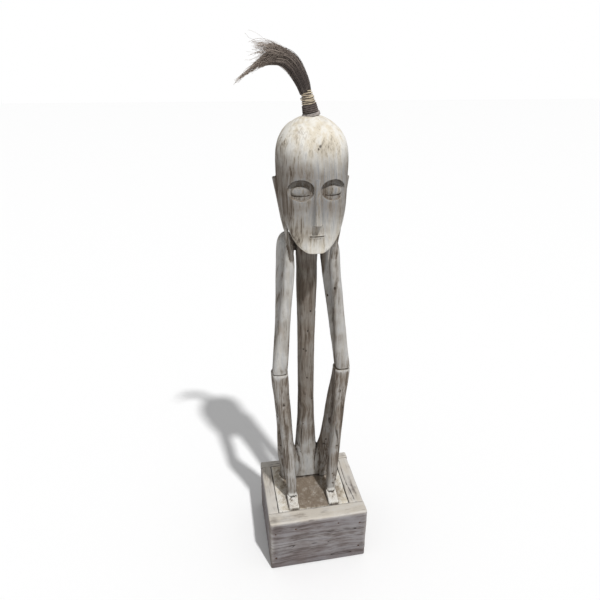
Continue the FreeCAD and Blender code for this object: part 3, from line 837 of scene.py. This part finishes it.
def nail_nodes(tree, given):
    """Hand-forged nails: a dented head, a shank and a point on each incoming point."""
    head = tree.node("GeometryNodeMeshCone", {}, {
        "Vertices": 9, "Side Segments": 2, "Radius Top": given["Head Radius"],
        "Radius Bottom": given["Head Radius"] * 0.72, "Depth": given["Head Height"]})
    shank = tree.node("GeometryNodeMeshCone", {}, {
        "Vertices": 7, "Side Segments": 4, "Radius Top": given["Shank Radius"] * 0.25,
        "Radius Bottom": given["Shank Radius"], "Depth": given["Length"]})
    nail = tree.node("GeometryNodeJoinGeometry")
    for part in (head, shank):
        tree.data.links.new(part.socket, nail.socket.node.inputs[0])
    turn = tree.node("FunctionNodeAlignRotationToVector", {"axis": "Z"}, {"Vector": given["Way"]})
    index = tree.node("GeometryNodeInputIndex")
    roll = tree.node("FunctionNodeRandomValue", {"data_type": "FLOAT"},
                     {2: 0.0, 3: NAIL_ROLL, "ID": index, "Seed": 4}, 1)
    roll = tree.node("FunctionNodeAxisAngleToRotation", {}, {"Axis": (0.0, 0.0, 1.0), "Angle": roll})
    turn = tree.node("FunctionNodeRotateRotation", {"rotation_space": "LOCAL"}, {0: turn, 1: roll})
    placed = tree.node("GeometryNodeInstanceOnPoints", {}, {
        "Points": given["Geometry"], "Instance": nail, "Rotation": turn})
    placed = tree.node("GeometryNodeRealizeInstances", {}, {"Geometry": placed})
    here = tree.node("GeometryNodeInputPosition")
    dent = tree.drift(here, 420.0)
    return tree.node("GeometryNodeSetPosition", {}, {
        "Geometry": placed, "Offset": tree.scaled(dent, given["Head Height"] * 0.45)})


def iron_material(nails):
    material, tree, place = new_material("nail_iron")
    scale = tree.noise(place, 380.0, 4.0, 0.65)
    crust = tree.noise(place, 1500.0, 3.0)
    shown = tree.mix(tree.step(scale, 0.42, 0.60), nails.iron, nails.rust)
    finish_surface(tree, shown, 0.70 + crust * 0.25, scale * 0.6 + crust * 0.4, 0.0003, {"Metallic": 0.35})
    return material


def build_nails(nails):
    iron = iron_material(nails)
    ways = {"front": (0, 1, 0), "back": (0, -1, 0), "left": (1, 0, 0), "right": (-1, 0, 0)}
    for side, way in ways.items():
        node = side + "_nails"
        way = Vector(way)
        heads = []
        for low, high in islands(node):
            reach = abs((high - low).dot(way))
            heads.append((low + high) / 2 - way * (reach / 2))
        mesh = bpy.data.meshes.new(side + "_nail_set")
        mesh.from_pydata(heads, [], [])
        sizes = {"Shank Radius": nails.shank_radius, "Head Radius": nails.head_radius,
                 "Head Height": nails.head_height, "Length": reach * 0.99}
        inputs = {**dict.fromkeys(sizes, "NodeSocketFloat"), "Way": "NodeSocketVector"}
        made = grown(side + "_nail_set", mesh, inputs, nail_nodes, {**sizes, "Way": way, "Material": iron})
        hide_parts(node)
        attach(made, "figure")


# ---- Bindings -------------------------------------------------------------------------------
CORD_STRANDS = 3
CORD_LAY = 0.0075                            # length of cord in which its strands turn once


def swept(tree, curves, section):
    """A smooth solid of that section along each curve."""
    body = tree.node("GeometryNodeCurveToMesh", {}, {
        "Curve": curves, "Profile Curve": section, "Fill Caps": True})
    return tree.node("GeometryNodeSetShadeSmooth", {}, {"Geometry": body})


def winding_nodes(tree, given):
    """One cord wound round the Z axis: a lobed or flattened section, twisted as it goes."""
    coil = tree.node("GeometryNodeCurveSpiral", {}, {
        "Resolution": given["Steps"], "Rotations": given["Turns"], "Height": given["Height"],
        "Start Radius": given["Low Radius"], "End Radius": given["High Radius"]})
    here = tree.node("GeometryNodeInputPosition")
    drift = tree.drift(tree.vector("ADD", here, given["Shift"]), 55.0)
    laid = tree.node("GeometryNodeSetPosition", {}, {
        "Geometry": coil, "Offset": tree.vector("MULTIPLY", drift, given["Slack"])})
    upright = tree.node("GeometryNodeSetCurveNormal", {"mode": "Z_UP"}, {"Curve": laid})
    run = tree.node("GeometryNodeSplineParameter", output="Length")
    twisted = tree.node("GeometryNodeSetCurveTilt", {}, {"Curve": upright, "Tilt": run * given["Twist"]})
    marked = tree.node("GeometryNodeStoreNamedAttribute", {"data_type": "FLOAT", "domain": "POINT"}, {
        "Geometry": twisted, "Name": "along", "Value": run})

    section = tree.node("GeometryNodeCurvePrimitiveCircle", {"mode": "RADIUS"}, {
        "Resolution": 12, "Radius": given["Radius"]})
    lobe = tree.node("GeometryNodeSplineParameter", output="Factor") * (math.tau * CORD_STRANDS)
    spot = tree.node("GeometryNodeInputPosition")
    fuller = tree.scaled(spot, lobe.cosine() * given["Lobes"] + 1.0)
    flattened = tree.vector("MULTIPLY", fuller, tree.combine(given["Flatness"], 1.0, 1.0))
    section = tree.node("GeometryNodeSetPosition", {}, {"Geometry": section, "Position": flattened})
    return swept(tree, marked, section)


WINDING_INPUTS = {
    "Steps": "NodeSocketInt", "Shift": "NodeSocketVector", "Slack": "NodeSocketVector",
    **dict.fromkeys(("Turns", "Height", "Low Radius", "High Radius", "Radius", "Flatness", "Lobes", "Twist"),
                    "NodeSocketFloat"),
}


def winding(name, material, low, high, radii, radius, turns, steps=96, flatness=1.0, lobes=0.0, twist=0.0,
            slack=0.0005, tilt=0.0, turn=0.0):
    """A cord wound round the plume's axis between two distances out from the seat."""
    mesh = bpy.data.meshes.new(name)
    made = grown(name, mesh, WINDING_INPUTS, winding_nodes, {
        "Steps": steps, "Shift": (turn, radii[0] * 9, low * 31), "Slack": (slack, slack, slack * 1.6),
        "Turns": turns, "Height": high - low, "Low Radius": radii[0], "High Radius": radii[1],
        "Radius": radius, "Flatness": flatness, "Lobes": lobes, "Twist": twist, "Material": material})
    lean = Vector((0, 0, 1)).rotation_difference(PLUME_AXIS).to_matrix().to_4x4()
    place = Matrix.Translation(SEAT + PLUME_AXIS * (low + high) / 2) @ lean
    centred = Matrix.Translation((0, 0, (low - high) / 2))
    own = Matrix.Rotation(turn, 4, "Z") @ Matrix.Rotation(tilt, 4, "X") @ centred
    made.data.transform(place @ own)
    return made


def joined(name, parts):
    """Several plain mesh objects made one."""
    whole = bmesh.new()
    for part in parts:
        whole.from_mesh(part.data)
    mesh = bpy.data.meshes.new(name)
    whole.to_mesh(mesh)
    whole.free()
    mesh.materials.append(parts[0].data.materials[0])
    for part in parts:
        bpy.data.objects.remove(part)
    smooth_shaded(mesh)
    return new_object(name, mesh)


def cord_material(name, dusty):
    """Twisted fibre: dusty ridges, dark between the plies."""
    material, tree, place = new_material(name)
    fluff = tree.noise(place, 1400.0, 3.0, 0.7)
    dust = tree.noise(place, 130.0, 3.0)
    shown = tree.mix(tree.step(fluff * 0.6 + dust * 0.4, 0.38, 0.64), shaded(dusty, 0.35), dusty)
    finish_surface(tree, shown, 0.88 + fluff * 0.1, fluff, 0.0003)
    return material


def rattan_material(bind):
    """Split rattan: long glossy fibres, darker husk in streaks and at the edges."""
    material, tree, place = new_material("rattan")
    run = tree.attribute("along")
    fibre = tree.noise(tree.stretched(place, (0.15, 0.15, 1.0)), 2600.0, 3.0, 0.6)
    height = tree.node("ShaderNodeSeparateXYZ", {}, {0: place}, 2)
    patch = tree.noise(tree.combine(run * 30.0, height * 260.0, 0.0), 1.0, 3.0, 0.6)
    shown = tree.mix(tree.step(patch * 0.8 + fibre * 0.2, 0.44, 0.56), bind.straw, bind.husk)
    finish_surface(tree, shown, 0.52 + fibre * 0.3, fibre, 0.0002, {"Specular IOR Level": 0.4})
    return material


def build_bindings(bind):
    collar = cord_material("collar_cord", bind.collar)
    dark = cord_material("dark_cord", bind.dark)
    straw = rattan_material(bind)
    laid = {"steps": 150, "lobes": 0.16, "twist": math.tau / CORD_LAY}
    rings = winding("crown_cord", collar, bind.collar_radius, COLLAR_TOP - bind.collar_radius,
                    (0.0187, 0.0178), bind.collar_radius, bind.collar_turns, **laid)
    lower = winding("dark_binding", dark, COLLAR_TOP - 0.0002, CORD_TOP,
                    (0.0164, 0.0148), bind.cord_radius, bind.cord_turns, **laid)
    layers = [
        # low, high, radii, turns, lean across the axis, start angle
        (CORD_TOP + 0.0005, RATTAN_TOP - 0.0015, (0.0156, 0.0112), bind.rattan_turns, 0.00, 0.4),
        (CORD_TOP + 0.0030, RATTAN_TOP - 0.0060, (0.0162, 0.0126), 2.3, 0.14, 2.1),
        (CORD_TOP + 0.0090, RATTAN_TOP - 0.0035, (0.0153, 0.0120), 1.6, -0.20, 4.4),
    ]
    strips = [winding("strip", straw, low, high, radii, bind.rattan_width, turns, flatness=0.42,
                      slack=0.0012, tilt=lean, turn=start)
              for low, high, radii, turns, lean, start in layers]
    wrap = joined("rattan_binding", strips)
    for made, node, slot in ((rings, "crown_collar", "collar_cord"), (lower, "cord_wrap", "dark_cord"),
                             (wrap, "rattan_wrap", "rattan")):
        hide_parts(node)
        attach(made, "plume")


# ---- Hair -----------------------------------------------------------------------------------
def hair_path(line):
    """Points and half-widths down the middle of a bundle, on a smooth curve."""
    rows = np.array(line)
    rows = np.vstack([2 * rows[0] - rows[1], rows, 2 * rows[-1] - rows[-2]])
    made = []
    for step in range(HAIR_STEPS + 1):
        at = step / HAIR_STEPS * (len(line) - 1)
        i = min(int(at), len(line) - 2)
        t = at - i
        a, b, c, d = rows[i:i + 4]
        made.append(0.5 * (2 * b + (c - a) * t + (2 * a - 5 * b + 4 * c - d) * t ** 2
                           + (3 * b - a - 3 * c + d) * t ** 3))
    made = np.array(made)
    return made[:, :3] + np.array(SEAT + PLUME_AXIS * RATTAN_TOP), made[:, 3]


def hair_guide(name, line):
    """A bundle's middle line as a mesh of edges, with its half-width stored on it."""
    points, widths = hair_path(line)
    mesh = bpy.data.meshes.new(name)
    mesh.from_pydata(points.tolist(), [(i, i + 1) for i in range(len(points) - 1)], [])
    mesh.attributes.new("spread", "FLOAT", "POINT").data.foreach_set("value", widths)
    return mesh


def strand_nodes(tree, given):
    """Hairs that follow the incoming line in locks, and part from each other towards their tips."""
    guide = tree.node("GeometryNodeMeshToCurve", {}, {"Mesh": given["Geometry"]})
    dots = tree.node("GeometryNodeMeshLine", {}, {"Count": given["Strands"]})
    hair = tree.node("GeometryNodeResampleCurve", {}, {
        "Curve": tree.node("GeometryNodeCurvePrimitiveLine"), "Count": given["Segments"]})
    hairs = tree.node("GeometryNodeInstanceOnPoints", {}, {"Points": dots, "Instance": hair})
    hairs = tree.node("GeometryNodeRealizeInstances", {}, {"Geometry": hairs})
    which = tree.node("GeometryNodeFieldOnDomain", {"domain": "CURVE", "data_type": "INT"}, {
        "Value": tree.node("GeometryNodeInputIndex")})

    def chance(seed, low=0.0, high=1.0, who=which):
        return tree.node("FunctionNodeRandomValue", {"data_type": "FLOAT"}, {
            2: low, 3: high, "ID": who, "Seed": given["Seed"] + seed}, 1)

    lock = (chance(1) * given["Locks"]).floor()
    part = tree.node("GeometryNodeSplineParameter", output="Factor")
    reach = [chance(seed, given["Shortest"], given["Longest"], who) for seed, who in ((2, which), (3, lock))]
    run = part * (reach[0] * 0.6 + reach[1] * 0.4)
    width = tree.node("GeometryNodeInputNamedAttribute", {"data_type": "FLOAT"}, {"Name": "spread"})
    sample = tree.node("GeometryNodeSampleCurve", {"mode": "FACTOR", "data_type": "FLOAT"}, {
        "Curves": guide, "Value": width, "Factor": run})
    spread, middle, forward = (Value(tree, sample.socket.node.outputs[name])
                               for name in ("Value", "Position", "Tangent"))

    # A hair's place in the bundle: its lock's place, and its own within the lock.
    turn, out = chance(4, 0.0, FULL_TURN, lock), chance(5, 0.0, 1.0, lock) ** 0.5
    own_turn, own_out = chance(6, 0.0, FULL_TURN), chance(7) ** 0.5
    gather = 0.46 - run * 0.30
    across = turn.cosine() * out * 0.80 + own_turn.cosine() * own_out * gather
    deep = turn.sine() * out * 0.80 + own_turn.sine() * own_out * gather
    fan = run * run * given["Fan"] + 1.0
    side = tree.vector("NORMALIZE", tree.vector("CROSS_PRODUCT", forward, (0.0, 1.0, 0.0)))
    offset = tree.vector("ADD", tree.scaled(side, across * spread * fan),
                         tree.combine(0.0, deep * spread * fan * 0.8, 0.0))
    curl = tree.drift(tree.combine(lock * 3.7, run * 2.6, 0.0), 1.0)
    stray = tree.drift(tree.combine(which * 1.7, run * 3.1, 9.0), 1.0)
    wave = tree.vector("ADD", tree.scaled(curl, 0.65), tree.scaled(stray, 0.55))
    wave = tree.scaled(wave, run * run * given["Wander"])
    place = tree.vector("ADD", tree.vector("ADD", middle, offset), wave)
    hairs = tree.node("GeometryNodeSetPosition", {}, {"Geometry": hairs, "Position": place})
    hairs = tree.node("GeometryNodeSetCurveRadius", {}, {"Curve": hairs, "Radius": 1.0 - part ** 3.0 * 0.86})
    for label, value in (("along", run), ("tone", chance(8))):
        hairs = tree.node("GeometryNodeStoreNamedAttribute", {"data_type": "FLOAT", "domain": "POINT"}, {
            "Geometry": hairs, "Name": label, "Value": value})
    section = tree.node("GeometryNodeCurvePrimitiveCircle", {"mode": "RADIUS"}, {
        "Resolution": HAIR_SIDES, "Radius": given["Radius"]})
    return swept(tree, hairs, section)


HAIR_INPUTS = {
    **dict.fromkeys(("Strands", "Segments", "Locks", "Seed"), "NodeSocketInt"),
    **dict.fromkeys(("Radius", "Shortest", "Longest", "Fan", "Wander"), "NodeSocketFloat"),
}


# The bundle's close core: its sides, how far it runs along the hair, and its distances out from
# the seat with its radii inside the wraps.
CORE_SIDES = 24
CORE_SHARE = 0.56
CORE_IN_WRAPS = ((0.0004, 0.0172), (0.010, 0.0155), (0.022, 0.0142), (0.034, 0.0130),
                 (RATTAN_TOP - 0.008, 0.0100))


def hair_material(hair):
    """Coarse dry hair: near black at the root, browner and dustier towards the tips."""
    material, tree, place = new_material("hair")
    run, tone = tree.attribute("along"), tree.attribute("tone")
    faded = tree.step(run + (tone - 0.5) * 0.45, 0.12, 0.55)
    shown = tree.mix(faded, hair.root, hair.middle)
    shown = tree.mix(tree.step(run + (tone - 0.5) * 0.7, 0.40, 0.95), shown, hair.tip)
    dust = tree.noise(place, 60.0, 3.0)
    shown = tree.mix(tree.step(dust, 0.50, 0.70) * tone * 0.35, shown, hair.tip)
    fluff = tree.noise(place, 900.0, 2.0)
    finish_surface(tree, shown, 0.45 + tone * 0.25, fluff, 0.0001, {"Specular IOR Level": 0.45})
    return material


def hair_root(material):
    """The close core of the bundle: bound inside the wraps, and lost among the hairs beyond them."""
    points, widths = hair_path(HAIR_LINE)
    last = int(HAIR_STEPS * CORE_SHARE)
    bound = [(SEAT + PLUME_AXIS * out, radius) for out, radius in CORE_IN_WRAPS]
    loose = [(Vector(points[i]), widths[i] * 0.80 * (1 - ramp(np.array(i / last), 0.45, 1.0) * 0.85))
             for i in range(2, last + 1)]
    middles, radii = zip(*(bound + loose))
    verts = []
    for i, (middle, radius) in enumerate(zip(middles, radii)):
        ahead = middles[min(i + 1, len(middles) - 1)] - middles[max(i - 1, 0)]
        side = ahead.cross(Vector((0, 1, 0))).normalized()
        for j in range(CORE_SIDES):
            angle = math.tau * j / CORE_SIDES
            reach = radius * (1 + 0.05 * math.sin(j * 5.0 + i * 0.4))
            deep = Vector((0, 1, 0)) * math.sin(angle) * reach * 0.85
            verts.append(middle + side * math.cos(angle) * reach + deep)
    faces = []
    for start in range(0, len(verts) - CORE_SIDES, CORE_SIDES):
        for j in range(CORE_SIDES):
            after = (j + 1) % CORE_SIDES
            faces.append((start + j, start + after, start + CORE_SIDES + after, start + CORE_SIDES + j))
    faces += [tuple(range(CORE_SIDES - 1, -1, -1)), tuple(range(len(verts) - CORE_SIDES, len(verts)))]
    mesh = bpy.data.meshes.new("hair_root")
    mesh.from_pydata(verts, [], faces)
    shape = bmesh.new()
    shape.from_mesh(mesh)
    bmesh.ops.recalc_face_normals(shape, faces=shape.faces)
    shape.to_mesh(mesh)
    shape.free()
    store(mesh, "along", np.repeat(np.linspace(0.0, 0.35, len(middles)), CORE_SIDES))
    store(mesh, "tone", np.zeros(len(verts)))
    smooth_shaded(mesh)
    mesh.materials.append(material)
    made = new_object("hair_root", mesh)
    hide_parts("hair_tuft")
    return made


def peg_material(hair):
    """A whittled peg: long pale facets with a little grime in the grain."""
    material, tree, place = new_material("peg_wood")
    fibre = tree.noise(tree.stretched(place, (1.0, 1.0, 0.06)), 900.0, 3.0, 0.6)
    facet = tree.noise(tree.stretched(place, (1.0, 1.0, 0.15)), 240.0, 1.0)
    shown = tree.mix(tree.step(fibre, 0.35, 0.70), shaded(hair.peg, 0.55), hair.peg)
    finish_surface(tree, shown, 0.62 + fibre * 0.25, fibre * 0.4 + facet * 0.6, 0.0006)
    return material


def build_hair(hair):
    material = hair_material(hair)
    made = [hair_root(material)]
    # name, middle line, hairs, locks, seed, thickness, shortest, longest, fan, wander
    for name, line, strands, locks, seed, thickness, shortest, longest, fan, wander in (
            ("hair_bundle", HAIR_LINE, hair.strands, 60, 11, 1.0, 0.36, 0.68, 0.15, 0.030),
            ("hair_over_bundle", HAIR_LINE, hair.strands, 120, 57, 0.9, 0.32, 0.78, 0.25, 0.042),
            ("hair_tail", HAIR_LINE, hair.tails, 12, 29, 0.7, 0.60, 1.00, 0.25, 0.030),
            ("hair_wisps", WISP_LINE, hair.wisps, 26, 71, 0.6, 0.42, 0.95, 0.40, 0.060),
            ("stray_hairs", WISP_LINE, hair.strays, 60, 83, 0.5, 0.45, 1.00, 1.00, 0.095)):
        made.append(grown(name, hair_guide(name, line), HAIR_INPUTS, strand_nodes, {
            "Strands": strands // FEWER, "Segments": HAIR_SEGMENTS, "Locks": locks, "Seed": seed,
            "Radius": hair.radius * thickness, "Shortest": shortest, "Longest": longest,
            "Fan": fan, "Wander": wander, "Material": material}))
    for piece in made:
        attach(piece, "plume")
    finish = frame["nodes"]["plume_peg"].data.materials
    finish.clear()
    finish.append(peg_material(hair))


# ---- Stage ----------------------------------------------------------------------------------
CAMERA_PLACE = (-0.232, -1.147, 1.316)
CAMERA_TURN = -10.2                          # degrees round the figure from its front
CAMERA_DROP = 24.1                           # degrees that it looks down
CAMERA_LENS = 30.0
SENSOR_WIDTH = 36.0
FAR_CLIP = 200.0
TO_LIGHT = Vector((0.188, -0.497, 0.847))
LIGHT_WIDTH = 2.6                            # degrees across, which softens the shadow's edge


def build_stage(stage):
    scene = bpy.context.scene
    half = stage.floor_half
    mesh = bpy.data.meshes.new("floor")
    corners = [(-half, -half, 0), (half, -half, 0), (half, half, 0), (-half, half, 0)]
    mesh.from_pydata(corners, [], [(0, 1, 2, 3)])
    material, tree, place = new_material("pale_floor")
    tooth = tree.noise(place, 900.0, 2.0)
    finish_surface(tree, tree.mix(tooth * 0.02, stage.floor, (0.8, 0.8, 0.8)), 0.95, tooth, 0.0001)
    mesh.materials.append(material)
    new_object("floor", mesh)

    world = bpy.data.worlds.new("studio")
    scene.world = world
    world.use_nodes = True
    world.node_tree.nodes.clear()
    sky = Tree(world.node_tree)
    seen = sky.node("ShaderNodeLightPath", output="Is Camera Ray")
    strength = seen * (1.0 - stage.sky) + stage.sky
    back = sky.node("ShaderNodeBackground", {}, {"Color": (1.0, 1.0, 1.0, 1.0), "Strength": strength})
    sky.node("ShaderNodeOutputWorld", {}, {"Surface": back})

    light = bpy.data.lights.new("key", "SUN")
    light.energy = stage.sun
    light.angle = math.radians(LIGHT_WIDTH)
    key = new_object("key", light)
    key.rotation_euler = TO_LIGHT.to_track_quat("Z", "Y").to_euler()

    camera = bpy.data.cameras.new("camera")
    camera.lens = CAMERA_LENS
    camera.sensor_width = SENSOR_WIDTH
    camera.clip_end = FAR_CLIP
    eye = new_object("camera", camera)
    eye.location = CAMERA_PLACE
    eye.rotation_euler = (math.radians(90 - CAMERA_DROP), 0.0, math.radians(CAMERA_TURN))
    scene.camera = eye
    scene.view_settings.view_transform = "Standard"


# ---- Operators ------------------------------------------------------------------------------
class ANCESTOR_OT_carve_log(bpy.types.Operator):
    """Carve and limewash the figure's log"""

    bl_idname = "ancestor.carve_log"
    bl_label = "Carve log"

    def execute(self, context):
        build_log(context.scene.ancestor_log)
        return {"FINISHED"}


class ANCESTOR_OT_weather_boards(bpy.types.Operator):
    """Weather the four boards round the plinth"""

    bl_idname = "ancestor.weather_boards"
    bl_label = "Weather boards"

    def execute(self, context):
        build_boards(context.scene.ancestor_boards)
        return {"FINISHED"}


class ANCESTOR_OT_drive_nails(bpy.types.Operator):
    """Forge the nails that hold the boards"""

    bl_idname = "ancestor.drive_nails"
    bl_label = "Drive nails"

    def execute(self, context):
        build_nails(context.scene.ancestor_nails)
        return {"FINISHED"}


class ANCESTOR_OT_wind_bindings(bpy.types.Operator):
    """Wind the cords and rattan round the root of the hair"""

    bl_idname = "ancestor.wind_bindings"
    bl_label = "Wind bindings"

    def execute(self, context):
        build_bindings(context.scene.ancestor_bindings)
        return {"FINISHED"}


class ANCESTOR_OT_grow_hair(bpy.types.Operator):
    """Lay the tuft's hairs and finish its peg"""

    bl_idname = "ancestor.grow_hair"
    bl_label = "Grow hair"

    def execute(self, context):
        build_hair(context.scene.ancestor_hair)
        return {"FINISHED"}


class ANCESTOR_OT_set_stage(bpy.types.Operator):
    """Set the floor, the light and the camera"""

    bl_idname = "ancestor.set_stage"
    bl_label = "Set stage"

    def execute(self, context):
        build_stage(context.scene.ancestor_stage)
        return {"FINISHED"}


OPERATORS = (ANCESTOR_OT_carve_log, ANCESTOR_OT_weather_boards, ANCESTOR_OT_drive_nails,
             ANCESTOR_OT_wind_bindings, ANCESTOR_OT_grow_hair, ANCESTOR_OT_set_stage)
SETTINGS = {
    "ancestor_log": LogSettings, "ancestor_boards": BoardSettings, "ancestor_nails": NailSettings,
    "ancestor_bindings": BindingSettings, "ancestor_hair": HairSettings, "ancestor_stage": StageSettings,
}


class ANCESTOR_PT_panel(bpy.types.Panel):
    """Everything that the figure is made of"""

    bl_idname = "ANCESTOR_PT_panel"
    bl_label = "Ancestor figure"
    bl_space_type = "VIEW_3D"
    bl_region_type = "UI"
    bl_category = "Ancestor figure"

    def draw(self, context):
        for name, operator in zip(SETTINGS, OPERATORS):
            part = self.layout.box()
            part.operator(operator.bl_idname)
            settings = getattr(context.scene, name)
            for label in settings.bl_rna.properties.keys():
                if label not in ("rna_type", "name"):
                    part.prop(settings, label)


def register():
    for kind in (*SETTINGS.values(), *OPERATORS, ANCESTOR_PT_panel):
        bpy.utils.register_class(kind)
    for name, kind in SETTINGS.items():
        setattr(bpy.types.Scene, name, bpy.props.PointerProperty(type=kind))


def unregister():
    for name in SETTINGS:
        delattr(bpy.types.Scene, name)
    for kind in (ANCESTOR_PT_panel, *OPERATORS, *SETTINGS.values()):
        bpy.utils.unregister_class(kind)


def main():
    register()
    bpy.ops.ancestor.set_stage()
    bpy.ops.ancestor.carve_log()
    bpy.ops.ancestor.weather_boards()
    bpy.ops.ancestor.drive_nails()
    bpy.ops.ancestor.wind_bindings()
    bpy.ops.ancestor.grow_hair()


if __name__ == "__main__":
    main()
